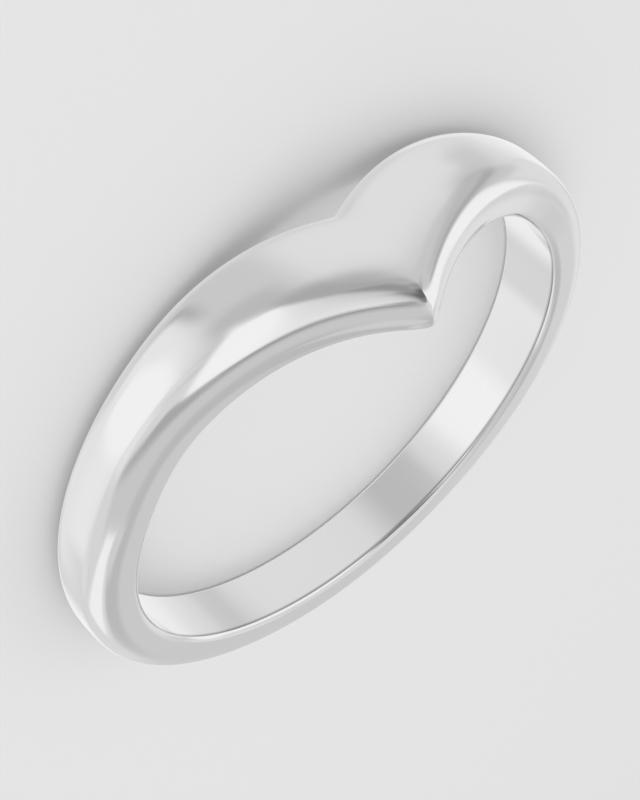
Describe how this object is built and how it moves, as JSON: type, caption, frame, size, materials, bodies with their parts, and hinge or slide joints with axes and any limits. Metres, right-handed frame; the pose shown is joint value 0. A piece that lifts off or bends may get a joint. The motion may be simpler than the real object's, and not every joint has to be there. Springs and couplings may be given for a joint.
{
  "type": "chevron ring",
  "caption": "One-piece finger ring whose polished band widens at the front into a V-shaped chevron and lies flat on its notch side.",
  "frame": {"origin": "on the axis of the finger hole, in the plane of the floor that the ring lies on, which is the centre of the bottom of its bounding box", "axes": "+Z along the finger axis, pointing up and towards the chevron's tip; -Y towards the chevron, +Y towards the back of the band; the left and right halves mirror each other in X = 0"},
  "size_m": [0.0206, 0.0206, 0.0055],
  "materials": {
    "ring": "mirror-polished white gold"
  },
  "bodies": {
    "root": {"ring": "ring"}
  },
  "joints": []
}
